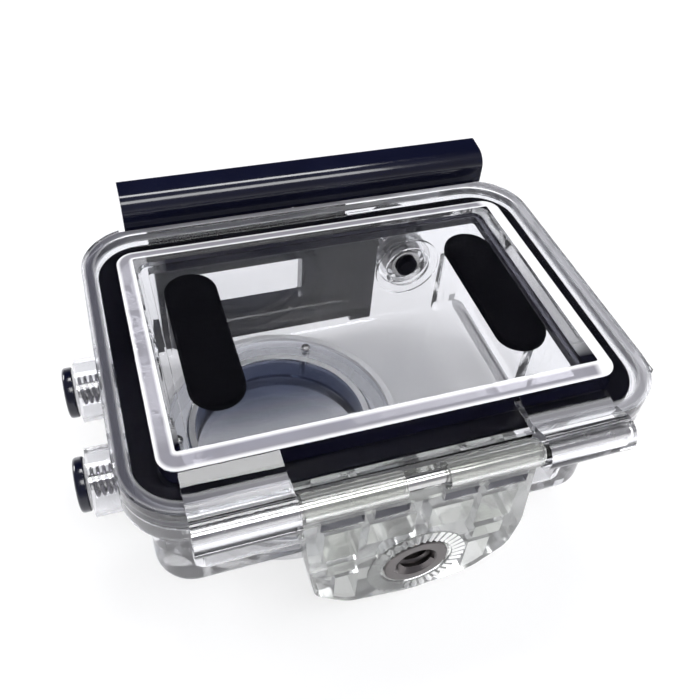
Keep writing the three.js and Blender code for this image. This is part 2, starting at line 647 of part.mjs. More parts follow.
function makeButton(station) {
  const group = new THREE.Group();
  group.quaternion.setFromUnitVectors(new THREE.Vector3(0, 1, 0), new THREE.Vector3(...station.out));
  group.position.set(station.x, station.y, -station.down);
  housing.add(group);
  const name = (piece) => `${station.name}_${piece}`;
  const capInner = station.reach - button.capThick;
  const edge = button.capEdge;
  add(name('cap'), solid(turned([
    [0, capInner], [button.cap, capInner], [button.cap, station.reach - edge],
    [button.cap - edge, station.reach], [0, station.reach],
  ], 32)), blackPlastic(), group);
  const clipHigh = -shell.wall + button.recessDepth - gap;
  const clipLow = clipHigh - button.clipThick;
  const tipHigh = clipLow - gap;
  const tipLow = tipHigh - button.tipThick;
  add(name('shaft'), solid(new THREE.CylinderGeometry(
    button.shaft, button.shaft, capInner - gap - tipHigh - gap, 16)
    .translate(0, (capInner + tipHigh) / 2, 0)), steel(), group);
  add(name('clip'), solid(turned(
    ringSection(button.bore, button.clip, clipLow, clipHigh), 20)), steel(), group);
  add(name('tip'), solid(new THREE.CylinderGeometry(
    button.tip, button.tip, tipHigh - tipLow, 20)
    .translate(0, (tipHigh + tipLow) / 2, 0)), blackRubber(), group);
  const ringMiddle = button.bore + button.oRing;
  add(name('o_ring'), solid(turned(roundSection(
    ringMiddle, button.oRing, (button.glandFloor + button.boss) / 2, 6), 16)), blackRubber(), group);
  const washerLow = button.boss + gap;
  const washerHigh = washerLow + button.washerThick;
  add(name('washer'), solid(turned(
    ringSection(button.bore, button.washer, washerLow, washerHigh), 24)), steel(), group);
  const low = washerHigh + gap + button.wire;
  const high = capInner - gap - button.wire;
  const turns = (high - low) / button.pitch;
  const path = new Coil(button.coil, low, high, turns);
  const section = new THREE.Shape();
  section.absarc(0, 0, button.wire, 0, 2 * Math.PI);
  const coil = new THREE.ExtrudeGeometry(section, {
    steps: Math.round(stepsPerCurl * turns),
    curveSegments: wireSides,
    extrudePath: path,
  });
  add(name('spring'), solid(coil), steel(), group);
  const room = leastGap(path, turns).toFixed(2);
  console.log(`${name('spring')}: ${turns.toFixed(1)} turns, least gap ${room} mm`);
}

makeFrontShell();
makeSeal();
makeBackDoor();
makePads();
makeHingePin();
makeMountFoot();
makeInsert();
makePort();
makeBracket();
makeArm();
makeBar();
buttonStations.forEach(makeButton);

// Stand the housing on its lens port, centred on its outline
const leftEnd = Math.min(...buttonStations.map((station) => station.x + station.out[0] * station.reach));
const rightEnd = doorWidth / 2 + door.tabReach;
const nearEnd = hingeY - hinge.barrel;
const farEnd = barBack;
housing.position.set(-(leftEnd + rightEnd) / 2, -(nearEnd + farEnd) / 2, portDepth);
console.log(`shift ${housing.position.toArray().map((v) => v.toFixed(3)).join(' ')}`);

export default housing;
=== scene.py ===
import json
import math

import bmesh
import bpy
from mathutils import Matrix, Vector


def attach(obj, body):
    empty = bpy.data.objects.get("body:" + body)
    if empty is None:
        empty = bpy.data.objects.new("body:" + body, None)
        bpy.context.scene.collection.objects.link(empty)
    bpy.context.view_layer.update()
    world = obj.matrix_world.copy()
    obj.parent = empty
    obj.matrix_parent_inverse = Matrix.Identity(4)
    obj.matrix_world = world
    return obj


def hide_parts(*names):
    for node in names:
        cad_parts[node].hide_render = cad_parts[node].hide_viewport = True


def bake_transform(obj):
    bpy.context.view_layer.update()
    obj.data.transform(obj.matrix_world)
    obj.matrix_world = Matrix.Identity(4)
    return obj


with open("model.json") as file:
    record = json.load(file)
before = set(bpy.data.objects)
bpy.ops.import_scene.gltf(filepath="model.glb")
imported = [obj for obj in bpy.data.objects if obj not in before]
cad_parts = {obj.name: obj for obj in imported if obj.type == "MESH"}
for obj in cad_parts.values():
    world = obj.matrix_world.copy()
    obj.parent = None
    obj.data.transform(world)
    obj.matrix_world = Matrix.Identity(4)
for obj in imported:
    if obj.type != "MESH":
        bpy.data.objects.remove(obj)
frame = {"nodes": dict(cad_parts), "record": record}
bpy.context.scene.view_settings.view_transform = "Standard"
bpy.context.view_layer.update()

# Shapes are drawn in millimetres around the middle of the door's rim, with z = 0 on its outer face
housing = {"shift": (2.2, -0.175, 36.0), "mm": 0.001}
toRow = Matrix.Scale(housing["mm"], 4) @ Matrix.Translation(Vector(housing["shift"]))
hair = 1e-4  # two heights closer than this are the same


# Shapes
def plate(width, height, corner, low, high, steps=12):
    bm = bmesh.new()
    middle = Matrix.Translation((0, 0, (low + high) / 2))
    bmesh.ops.create_cube(bm, size=1, matrix=middle @ Matrix.Diagonal((width, height, high - low, 1)))
    upright = [e for e in bm.edges if abs(e.verts[0].co.z - e.verts[1].co.z) > hair]
    bevelEdges(bm, upright, corner, steps)
    return bm


def bevelEdges(bm, edges, width, steps=3):
    bmesh.ops.bevel(bm, geom=edges, offset=width, offset_type="OFFSET", segments=steps, profile=0.5,
                    affect="EDGES", material=-1, clamp_overlap=False)


def roundRim(bm, level, width, steps=4):
    rim = [e for e in bm.edges if all(abs(v.co.z - level) < hair for v in e.verts)]
    bevelEdges(bm, rim, width, steps)
    return bm


def block(x0, x1, y0, y1, z0, z1):
    bm = bmesh.new()
    middle = Matrix.Translation(((x0 + x1) / 2, (y0 + y1) / 2, (z0 + z1) / 2))
    bmesh.ops.create_cube(bm, size=1, matrix=middle @ Matrix.Diagonal((x1 - x0, y1 - y0, z1 - z0, 1)))
    return bm


def towards(start, end):
    start, end = Vector(start), Vector(end)
    turn = (end - start).to_track_quat("Z", "Y").to_matrix().to_4x4()
    return Matrix.Translation(start) @ turn, (end - start).length


def rod(radius, start, end, sides=48):
    place, length = towards(start, end)
    bm = bmesh.new()
    bmesh.ops.create_cone(bm, cap_ends=True, segments=sides, radius1=radius, radius2=radius, depth=length,
                          matrix=place @ Matrix.Translation((0, 0, length / 2)))
    return bm


def rodX(radius, x0, x1, y, z, sides=48):
    return rod(radius, (x0, y, z), (x1, y, z), sides)


def rodZ(radius, z0, z1, x, y, sides=64):
    return rod(radius, (x, y, z0), (x, y, z1), sides)


def turned(profile, start=(0, 0, 0), end=(0, 0, 1), sides=64, closed=True):
    place, _ = towards(start, end)
    bm = bmesh.new()
    verts = [bm.verts.new((r, 0, h)) for r, h in profile]
    pairs = list(zip(verts, verts[1:])) + ([(verts[-1], verts[0])] if closed else [])
    edges = [bm.edges.new(pair) for pair in pairs]
    bmesh.ops.spin(bm, geom=verts + edges, cent=(0, 0, 0), axis=(0, 0, 1), angle=2 * math.pi,
                   steps=sides, use_merge=True)
    bmesh.ops.remove_doubles(bm, verts=bm.verts, dist=hair)
    bmesh.ops.transform(bm, matrix=place, verts=bm.verts)
    bmesh.ops.recalc_face_normals(bm, faces=bm.faces)
    return bm


def coil(section, radius, low, high, pitch, start, end, stepsPerTurn=24, sides=10):
    place, _ = towards(start, end)
    turns = (high - low) / pitch
    steps = round(turns * stepsPerTurn)
    bm = bmesh.new()
    upright = Matrix.Rotation(math.pi / 2, 4, "X")
    bmesh.ops.create_circle(bm, segments=sides, radius=section,
                            matrix=Matrix.Translation((radius, 0, low)) @ upright)
    bmesh.ops.spin(bm, geom=bm.verts[:] + bm.edges[:], cent=(0, 0, 0), axis=(0, 0, 1),
                   angle=2 * math.pi * turns, steps=steps, dvec=(0, 0, (high - low) / steps))
    bmesh.ops.holes_fill(bm, edges=bm.edges)
    bmesh.ops.transform(bm, matrix=place, verts=bm.verts)
    bmesh.ops.recalc_face_normals(bm, faces=bm.faces)
    return bm


def prism(points, way, start, end):
    bm = bmesh.new()
    spots = {"X": lambda a, b: (start, a, b),
             "Y": lambda a, b: (a, start, b),
             "Z": lambda a, b: (a, b, start)}
    face = bm.faces.new([bm.verts.new(spots[way](a, b)) for a, b in points])
    grown = bmesh.ops.extrude_face_region(bm, geom=[face])["geom"]
    step = {"X": (end - start, 0, 0), "Y": (0, end - start, 0), "Z": (0, 0, end - start)}[way]
    bmesh.ops.translate(bm, vec=step, verts=[v for v in grown if isinstance(v, bmesh.types.BMVert)])
    bmesh.ops.recalc_face_normals(bm, faces=bm.faces)
    return bm


def roundedPrism(points, way, start, end, corner, steps=5):
    bm = prism(points, way, start, end)
    axis = "XYZ".index(way)
    along = [e for e in bm.edges if abs(e.verts[0].co[axis] - e.verts[1].co[axis]) > hair]
    bevelEdges(bm, along, corner, steps)
    return bm


def objectOf(bm, name):
    mesh = bpy.data.meshes.new(name)
    bm.to_mesh(mesh)
    bm.free()
    obj = bpy.data.objects.new(name, mesh)
    bpy.context.scene.collection.objects.link(obj)
    return obj


def bake(obj):
    bpy.context.view_layer.update()
    graph = bpy.context.evaluated_depsgraph_get()
    final = bpy.data.meshes.new_from_object(obj.evaluated_get(graph))
    obj.modifiers.clear()
    old = obj.data
    obj.data = final
    bpy.data.meshes.remove(old)
    return obj


def solve(obj, tools, operation):
    helpers = [objectOf(bm, "tool") for bm in tools]
    for helper in helpers:
        step = obj.modifiers.new("step", "BOOLEAN")
        step.object = helper
        step.operation = operation
        step.solver = "MANIFOLD"
    bake(obj)
    for helper in helpers:
        mesh = helper.data
        bpy.data.objects.remove(helper)
        bpy.data.meshes.remove(mesh)
    return obj


def union(obj, *tools):
    return solve(obj, tools, "UNION")


def cut(obj, *tools):
    return solve(obj, tools, "DIFFERENCE")


def finish(obj, body, material, stands, edge=0.0, steps=2, angle=40, crease=35):
    obj.data.transform(toRow)
    bm = bmesh.new()
    bm.from_mesh(obj.data)
    bmesh.ops.remove_doubles(bm, verts=bm.verts, dist=1e-7)
    bmesh.ops.dissolve_degenerate(bm, edges=bm.edges, dist=1e-7)
    bm.to_mesh(obj.data)
    bm.free()
    if edge:
        soften = obj.modifiers.new("edges", "BEVEL")
        soften.width = edge * housing["mm"]
        soften.segments = steps
        soften.limit_method = "ANGLE"
        soften.angle_limit = math.radians(angle)
        soften.miter_outer = "MITER_ARC"
        soften.use_clamp_overlap = True
        bake(obj)
    obj.data.shade_smooth()
    obj.data.set_sharp_from_angle(angle=math.radians(crease))
    weigh = obj.modifiers.new("shading", "WEIGHTED_NORMAL")
    weigh.keep_sharp = True
    bake(obj)
    obj.data.materials.clear()
    obj.data.materials.append(material)
    if body:
        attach(obj, body)
    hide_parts(*stands)
    return obj


# Finishes
def newMaterial(name):
    material = bpy.data.materials.new(name)
    material.use_nodes = True
    nodes = material.node_tree.nodes
    nodes.clear()
    output = nodes.new("ShaderNodeOutputMaterial")
    shader = nodes.new("ShaderNodeBsdfPrincipled")
    material.node_tree.links.new(shader.outputs["BSDF"], output.inputs["Surface"])
    return material, shader


def addNoise(material, scale, detail=3.0, stretch=(1, 1, 1)):
    nodes, links = material.node_tree.nodes, material.node_tree.links
    place = nodes.new("ShaderNodeTexCoord")
    mapping = nodes.new("ShaderNodeMapping")
    mapping.inputs["Scale"].default_value = stretch
    noise = nodes.new("ShaderNodeTexNoise")
    noise.inputs["Scale"].default_value = scale
    noise.inputs["Detail"].default_value = detail
    links.new(place.outputs["Object"], mapping.inputs["Vector"])
    links.new(mapping.outputs["Vector"], noise.inputs["Vector"])
    return noise.outputs["Fac"]


def spread(material, value, low, high):
    nodes, links = material.node_tree.nodes, material.node_tree.links
    ramp = nodes.new("ShaderNodeMapRange")
    ramp.inputs["To Min"].default_value = low
    ramp.inputs["To Max"].default_value = high
    links.new(value, ramp.inputs["Value"])
    return ramp.outputs["Result"]


def tint(material, value, dark, light):
    nodes, links = material.node_tree.nodes, material.node_tree.links
    ramp = nodes.new("ShaderNodeValToRGB")
    ramp.color_ramp.elements[0].position = 0.3
    ramp.color_ramp.elements[0].color = (*dark, 1)
    ramp.color_ramp.elements[1].position = 0.7
    ramp.color_ramp.elements[1].color = (*light, 1)
    links.new(value, ramp.inputs["Fac"])
    return ramp.outputs["Color"]


def addBump(material, shader, value, strength, distance):
    nodes, links = material.node_tree.nodes, material.node_tree.links
    bump = nodes.new("ShaderNodeBump")
    bump.inputs["Strength"].default_value = strength
    bump.inputs["Distance"].default_value = distance
    links.new(value, bump.inputs["Height"])
    links.new(bump.outputs["Normal"], shader.inputs["Normal"])


def makeFinish(name, dark, light, rough, colourScale=60, roughScale=400, bumpScale=0, bump=0.0,
               depth=0.00005, **sockets):
    material, shader = newMaterial(name)
    links = material.node_tree.links
    links.new(tint(material, addNoise(material, colourScale), dark, light), shader.inputs["Base Color"])
    links.new(spread(material, addNoise(material, roughScale), *rough), shader.inputs["Roughness"])
    if bumpScale:
        addBump(material, shader, addNoise(material, bumpScale, 4), bump, depth)
    for socket, value in sockets.items():
        shader.inputs[socket.replace("_", " ")].default_value = value
    return material


def combine(material, operation, first, second):
    step = material.node_tree.nodes.new("ShaderNodeMath")
    step.operation = operation
    for socket, value in zip(step.inputs, (first, second)):
        if isinstance(value, (int, float)):
            socket.default_value = value
        else:
            material.node_tree.links.new(value, socket)
    return step.outputs[0]


def coordinate(material, axis):
    nodes, links = material.node_tree.nodes, material.node_tree.links
    split = nodes.new("ShaderNodeSeparateXYZ")
    links.new(nodes.new("ShaderNodeTexCoord").outputs["Object"], split.inputs["Vector"])
    return split.outputs[axis]


def times(material, *values):
    product = values[0]
    for value in values[1:]:
        product = combine(material, "MULTIPLY", product, value)
    return product


# These say where a finish changes, from 0 to 1, with limits in millimetres of the object's own frame
def above(material, axis, level):
    return combine(material, "GREATER_THAN", coordinate(material, axis), level * housing["mm"])


def below(material, axis, level):
    return combine(material, "LESS_THAN", coordinate(material, axis), level * housing["mm"])


def between(material, value, low, high):
    return times(material, combine(material, "GREATER_THAN", value, low * housing["mm"]),
                 combine(material, "LESS_THAN", value, high * housing["mm"]))


def fade(material, value, start, end):
    ramp = material.node_tree.nodes.new("ShaderNodeMapRange")
    ramp.inputs["From Min"].default_value = start * housing["mm"]
    ramp.inputs["From Max"].default_value = end * housing["mm"]
    material.node_tree.links.new(value, ramp.inputs["Value"])
    return ramp.outputs["Result"]


def span(material, axis, low, high):
    return between(material, coordinate(material, axis), low, high)


def slope(material, axis, start, end):
    return fade(material, coordinate(material, axis), start, end)


def insideOutline(material, outline, shift):
    # how far a point lies inside a rounded rectangle, seen from above
    nodes, links = material.node_tree.nodes, material.node_tree.links
    reach = [outline[side] / 2 - outline["corner"] for side in ("width", "height")]
    value = nodes.new("ShaderNodeTexCoord").outputs["Object"]
    steps = [("SUBTRACT", (*shift[:2], 0)), ("MULTIPLY", (1, 1, 0)), ("ABSOLUTE", (0, 0, 0)),
             ("SUBTRACT", (*reach, 0)), ("MAXIMUM", (0, 0, 0)), ("LENGTH", (0, 0, 0))]
    for operation, amount in steps:
        step = nodes.new("ShaderNodeVectorMath")
        step.operation = operation
        scale = 1 if operation == "MULTIPLY" else housing["mm"]
        step.inputs[1].default_value = [scale * size for size in amount]
        links.new(value, step.inputs[0])
        value = step.outputs["Value" if operation == "LENGTH" else "Vector"]
    return combine(material, "SUBTRACT", outline["corner"] * housing["mm"], value)


def mixIn(nodes, links, share, kind, first, second):
    # a Mix node of the wanted kind; share 0 gives first and share 1 gives second
    firstAt, secondAt, resultAt = {"FLOAT": (2, 3, 0), "RGBA": (6, 7, 2)}[kind]
    mix = nodes.new("ShaderNodeMix")
    mix.data_type = kind
    links.new(share, mix.inputs["Factor"])
    if isinstance(first, bpy.types.NodeSocket):
        links.new(first, mix.inputs[firstAt])
    else:
        mix.inputs[firstAt].default_value = first
    mix.inputs[secondAt].default_value = second
    return mix.outputs[resultAt]


def paintLightShade(material, share, tone, clear):
    # paints light and shade into a finish: where share is 1 the colour is tone, and only the part called
    # clear lets light through
    nodes, links = material.node_tree.nodes, material.node_tree.links
    shader = next(node for node in nodes if node.type == "BSDF_PRINCIPLED")
    for name, kind, wanted in (("Base Color", "RGBA", (*tone, 1)), ("Transmission Weight", "FLOAT", clear)):
        socket = shader.inputs[name]
        before = socket.links[0].from_socket if socket.is_linked else socket.default_value
        links.new(mixIn(nodes, links, share, kind, before, wanted), socket)


clearLook = {"colourScale": 35, "roughScale": 300, "bumpScale": 90, "bump": 0.06, "depth": 0.0001,
             "Transmission_Weight": 1.0, "IOR": 1.47}
shellLook = {**clearLook, "Transmission_Weight": 0.94}
clearPlastic = makeFinish("clearPlastic", (0.93, 0.935, 0.95), (0.97, 0.97, 0.98), (0.0, 0.03), **shellLook)
doorPlastic = makeFinish("doorPlastic", (0.93, 0.935, 0.95), (0.97, 0.97, 0.98), (0.0, 0.03), **clearLook)
cloudyPlastic = makeFinish("cloudyPlastic", (0.82, 0.835, 0.80), (0.92, 0.93, 0.91), (0.03, 0.12),
                           colourScale=70, roughScale=260, bumpScale=110, bump=0.35, depth=0.0003,
                           Transmission_Weight=0.93, IOR=1.45)
toothPlastic = makeFinish("toothPlastic", (0.58, 0.59, 0.58), (0.68, 0.69, 0.68), (0.1, 0.2),
                          colourScale=70, roughScale=260, Transmission_Weight=0.8, IOR=1.45)
# the lens glass finish, which later gets a painted reflection gradient along Y
paintedReflectionGlass = makeFinish("paintedReflectionGlass", (0.88, 0.89, 0.93), (0.94, 0.945, 0.97), (0.03, 0.06),
                         colourScale=25, Transmission_Weight=1.0, IOR=1.5)
ringPlastic = makeFinish("ringPlastic", (0.76, 0.78, 0.83), (0.84, 0.85, 0.89), (0.01, 0.05),
                         colourScale=45, roughScale=300, Transmission_Weight=1.0, IOR=1.47)
glossBlack = makeFinish("glossBlack", (0.002, 0.0025, 0.009), (0.004, 0.005, 0.017), (0.10, 0.2),
                        roughScale=220, bumpScale=500, bump=0.05, depth=0.00004, Coat_Weight=0.3,
                        Coat_Roughness=0.06, Specular_IOR_Level=0.35)
sealRubber = makeFinish("sealRubber", (0.001, 0.001, 0.003), (0.003, 0.003, 0.007), (0.35, 0.5),
                        roughScale=500, bumpScale=900, bump=0.15, Specular_IOR_Level=0.08)
padFoam = makeFinish("padFoam", (0.0008, 0.0008, 0.001), (0.003, 0.003, 0.004), (0.9, 1.0),
                     colourScale=900, roughScale=900, bumpScale=1500, bump=0.6, depth=0.0001,
                     Specular_IOR_Level=0.1)
brightSteel = makeFinish("brightSteel", (0.55, 0.55, 0.54), (0.68, 0.67, 0.66), (0.18, 0.32),
                         roughScale=600, bumpScale=800, bump=0.06, Metallic=1.0)
springSteel = makeFinish("springSteel", (0.10, 0.095, 0.12), (0.17, 0.16, 0.19), (0.2, 0.35),
                         roughScale=600, bumpScale=800, bump=0.05, Metallic=1.0)
darkNickel = makeFinish("darkNickel", (0.12, 0.11, 0.11), (0.20, 0.185, 0.18), (0.22, 0.38),
                        roughScale=700, bumpScale=1200, bump=0.12, Metallic=1.0)
finishes = {
    "clear_plastic": clearPlastic, "cloudy_plastic": cloudyPlastic, "lens_glass": paintedReflectionGlass,
    "black_plastic": glossBlack, "seal_rubber": sealRubber, "pad_foam": padFoam,
    "pin_steel": brightSteel, "insert_nickel": darkNickel,
}
for row in frame["record"]["subparts"]:
    node = frame["nodes"][row["node"]]
    node.data.materials.clear()
    node.data.materials.append(finishes[row["material_slot"]])
print("finishes ready")

# Sizes that several pieces share
rim = {"width": 79, "height": 58, "corner": 9.5}
body = {"width": 73, "height": 47, "corner": 6, "cavityWidth": 62, "cavityHeight": 42, "cavityCorner": 2.2,
        "floor": -26, "under": -28.3, "flangeTop": -3.3, "flangeLow": -6.2}
lens = {"x": -12, "outer": 19.5, "bore": 16.3, "mouth": 14.4, "rest": -36, "lip": -34,
        "screwCircle": 17.7, "angles": (60, 180, 300)}
hinge = {"y": -31.75, "z": -0.3, "x": -1.4, "half": 30.4, "knuckle": 16.6, "slot": 3, "lug": 17.2,
         "barrel": 2.7, "footBarrel": 2.0, "pin": 1.0, "hole": 1.3}
pivot = {"y": 27.4, "z": -25.3, "barY": 31.4, "barZ": 0.4}
buttonKinds = {
    "shutter": {"at": (18, 23.5, -13.6), "out": (0, 1, 0), "reach": 10.6},
    "upper_side": {"at": (-33.5, 9.2, -16.2), "out": (-1, 0, 0), "reach": 12.1},
    "lower_side": {"at": (-33.5, -9.2, -16.2), "out": (-1, 0, 0), "reach": 12.1},
}


# Painted light and shade in the finishes: gradients that paint highlights, reflections and dark bands of
# shade on clear plastic and glass
def paintLensPortReflection():
    # painted dark reflection on the lens ring's tube and a painted highlight on its rim
    ring = {"tubeTop": 10.1, "tubeDarkReflection": (0.16, 0.19, 0.30), "tubeClear": 0.7,
            "rimLow": 11.15, "rimHighlight": (0.95, 0.95, 0.96), "rimClear": 0.3}
    paintLightShade(ringPlastic, below(ringPlastic, "Z", ring["tubeTop"]), ring["tubeDarkReflection"], ring["tubeClear"])
    paintLightShade(ringPlastic, above(ringPlastic, "Z", ring["rimLow"]), ring["rimHighlight"], ring["rimClear"])
    # painted reflection on the lens glass: dark navy at the far side, pale light at the near side
    glass = {"farFade": (2, 11), "farTone": (0.20, 0.23, 0.34), "farClear": 0.6,
             "nearFade": (5, -6), "nearTone": (0.96, 0.96, 1.0), "nearClear": 0.25}
    for side in ("far", "near"):
        paintLightShade(paintedReflectionGlass, slope(paintedReflectionGlass, "Y", *glass[side + "Fade"]), glass[side + "Tone"],
             glass[side + "Clear"])


def paintFootLightAndShade():
    look = {"toothFace": -32.75, "toothFade": (0, 5), "toothHighlight": (1.0, 1.0, 0.98), "toothClear": 0.15,
            "slotX": (-13.4, 16.8), "slotY": (-32.45, -29.7), "slotZ": (29.95, 31.95),
            "slotShade": (0.20, 0.20, 0.23), "slotClear": 0.4}
    # painted highlight on the teeth, fading out towards the left
    onTooth = times(toothPlastic, below(toothPlastic, "Y", look["toothFace"]),
                    slope(toothPlastic, "X", *look["toothFade"]))
    paintLightShade(toothPlastic, onTooth, look["toothHighlight"], look["toothClear"])
    # painted shade in the slots under the hinge knuckles
    inSlot = times(cloudyPlastic, *[span(cloudyPlastic, axis, *look["slot" + axis]) for axis in "XYZ"])
    paintLightShade(cloudyPlastic, inSlot, look["slotShade"], look["slotClear"])


def paintShellHighlight():
    look = {"filletX": (31.6, 33.4), "filletZ": (9.6, 11.4), "filletHighlight": (0.90, 0.90, 0.92),
            "filletClear": 0.3}
    # painted highlight on the shell's inner fillet along the floor of the right wall
    onFillet = times(clearPlastic, span(clearPlastic, "X", *look["filletX"]),
                     span(clearPlastic, "Z", *look["filletZ"]))
    paintLightShade(clearPlastic, onFillet, look["filletHighlight"], look["filletClear"])


def paintDoorLightAndShade():
    look = {"bevelZ": (36.02, 36.78), "bevelNear": -22.8, "bevelHighlight": (0.95, 0.95, 0.96), "bevelClear": 0.3,
            "middleLow": (36.10, 36.22), "middleHigh": (36.68, 36.56), "middleRight": (33.5, 32.5),
            "middleShade": (0.52, 0.51, 0.57), "middleClear": 0.6,
            "plugTop": 32.9, "plugLeft": (-27, -24), "plugShade": (0.06, 0.06, 0.08), "plugClear": 0.4,
            "lineZ": (31.6, 33.05), "lineDepth": (5.7, 9.1), "lineNear": (-13, -17),
            "lineShade": (0.004, 0.004, 0.014), "lineClear": 0.06,
            "edgeOuter": (0.3, 0.8), "edgeInner": (2.2, 1.6), "edgeShade": (0.30, 0.30, 0.32),
            "edgeClear": 0.45, "hingeX": (-16, 18), "hingeNear": -20,
            "edgeLeft": (-20, -36), "edgeLeftShade": (0.10, 0.10, 0.12)}
    door = doorPlastic
    # painted highlight along the window's bevel, a white frame of caught light
    onBevel = times(door, span(door, "Z", *look["bevelZ"]), above(door, "Y", look["bevelNear"]))
    paintLightShade(door, onBevel, look["bevelHighlight"], look["bevelClear"])
    # painted grey reflection band in the middle of the bevel, left out on the right side
    onMiddle = times(door, slope(door, "Z", *look["middleLow"]), slope(door, "Z", *look["middleHigh"]),
                     slope(door, "X", *look["middleRight"]))
    paintLightShade(door, times(door, onBevel, onMiddle), look["middleShade"], look["middleClear"])
    # painted shade on the plug ring under the door, left out on the left side
    onPlug = times(door, below(door, "Z", look["plugTop"]), slope(door, "X", *look["plugLeft"]))
    paintLightShade(door, onPlug, look["plugShade"], look["plugClear"])
    depth = insideOutline(door, rim, housing["shift"])
    # painted grey shade on the band along the rim's edge, left out at the hinge
    onEdge = times(door, fade(door, depth, *look["edgeOuter"]), fade(door, depth, *look["edgeInner"]))
    # painted dark line of shade on the near wall of the plug
    onLine = times(door, span(door, "Z", *look["lineZ"]), between(door, depth, *look["lineDepth"]),
                   slope(door, "Y", *look["lineNear"]))
    paintLightShade(door, onLine, look["lineShade"], look["lineClear"])
    atHinge = times(door, span(door, "X", *look["hingeX"]), below(door, "Y", look["hingeNear"]))
    onEdge = times(door, onEdge, combine(door, "SUBTRACT", 1, atHinge))
    paintLightShade(door, onEdge, look["edgeShade"], look["edgeClear"])
    # painted deeper shade on the left side of the rim's edge
    atLeft = times(door, onEdge, slope(door, "X", *look["edgeLeft"]))
    paintLightShade(door, atLeft, look["edgeLeftShade"], look["edgeClear"])


def onAxis(kind, w):
    return Vector(kind["at"]) + Vector(kind["out"]) * w


def buttonRod(radius, low, high, kind, sides=48):
    return rod(radius, onAxis(kind, low), onAxis(kind, high), sides)


def buttonTurned(profile, kind, closed=True, sides=48):
    return turned(profile, onAxis(kind, 0), onAxis(kind, 1), sides, closed)


def ringSection(inner, outer, low, high):
    return [(inner, low), (outer, low), (outer, high), (inner, high)]


def roundSection(radius, height, thick, sides):
    turns = [2 * math.pi * k / sides for k in range(sides)]
    return [(radius + thick * math.cos(turn), height + thick * math.sin(turn)) for turn in turns]


def screwPlace(angle):
    turn = math.radians(angle)
    return lens["x"] + lens["screwCircle"] * math.cos(turn), lens["screwCircle"] * math.sin(turn)


# Front shell
def makeFrontShell():
    size = {"fold": 2.6, "floorFillet": 1.0, "collar": 5.2, "collarBore": 4.45, "boss": 2.6, "gland": 2.5,
            "glandFloor": 0.9, "bore": 1.5, "recess": 3.8, "recessFloor": -1.3, "ringOut": 6.2, "ringIn": 4.4,
            "rib": 1.2, "ribTop": -12, "ribsAt": ((26, 21), (-26, 21), (31, -4.5)),
            "grooveOut": (75, 53, 7.5), "grooveIn": (66.6, 44.6, 3.3), "grooveFloor": -5.2,
            "screwHole": 0.8, "screwDepth": 4.8}
    flange = plate(rim["width"], rim["height"], rim["corner"], body["flangeLow"], body["flangeTop"])
    shell = objectOf(flange, "frontShell")
    box = plate(body["width"], body["height"], body["corner"], body["under"], body["flangeTop"] - 0.5)
    roundRim(box, body["under"], size["fold"], 6)
    tube = rodZ(lens["outer"], lens["rest"], body["floor"] - 0.5, lens["x"], 0, 96)
    collars = [buttonRod(size["collar"], -1.2, kind["reach"] - 2.0, kind) for kind in buttonKinds.values()]
    union(shell, box, tube, *collars)
    cavity = plate(body["cavityWidth"], body["cavityHeight"], body["cavityCorner"], body["floor"], 1)
    roundRim(cavity, body["floor"], size["floorFillet"], 4)
    cut(shell, cavity)
    ribs = [rodZ(size["rib"], body["floor"] - 0.5, size["ribTop"], x, y, 24) for x, y in size["ribsAt"]]
    rings = [buttonTurned(ringSection(size["ringIn"], size["ringOut"], -3.1, -2.0), kind)
             for kind in buttonKinds.values()]
    union(shell, *ribs, *rings)
    groove = objectOf(plate(*size["grooveOut"], size["grooveFloor"], -2.5), "groove")
    cut(groove, plate(*size["grooveIn"], -7, -1))
    grooveShape = bmesh.new()
    grooveShape.from_mesh(groove.data)
    bpy.data.objects.remove(groove)
    bores = []
    for kind in buttonKinds.values():
        bores += [buttonRod(size["collarBore"], size["boss"], kind["reach"], kind),
                  buttonRod(size["gland"], size["glandFloor"], size["boss"] + 0.5, kind),
                  buttonRod(size["bore"], -4, size["boss"], kind, 32),
                  buttonRod(size["recess"], -4, size["recessFloor"], kind)]
    holes = [rodZ(size["screwHole"], body["floor"] - size["screwDepth"], body["floor"] + 1,
                  *screwPlace(angle), 24) for angle in lens["angles"]]
    port = [rodZ(lens["bore"], lens["lip"], body["floor"] + 1, lens["x"], 0, 96),
            rodZ(lens["mouth"], lens["rest"] - 1, lens["lip"] + 1, lens["x"], 0, 96)]
    cut(shell, grooveShape, *port, *holes, *bores)
    finish(shell, "shell", clearPlastic, ["front_shell"], edge=0.3, steps=3)
    print("front shell made")


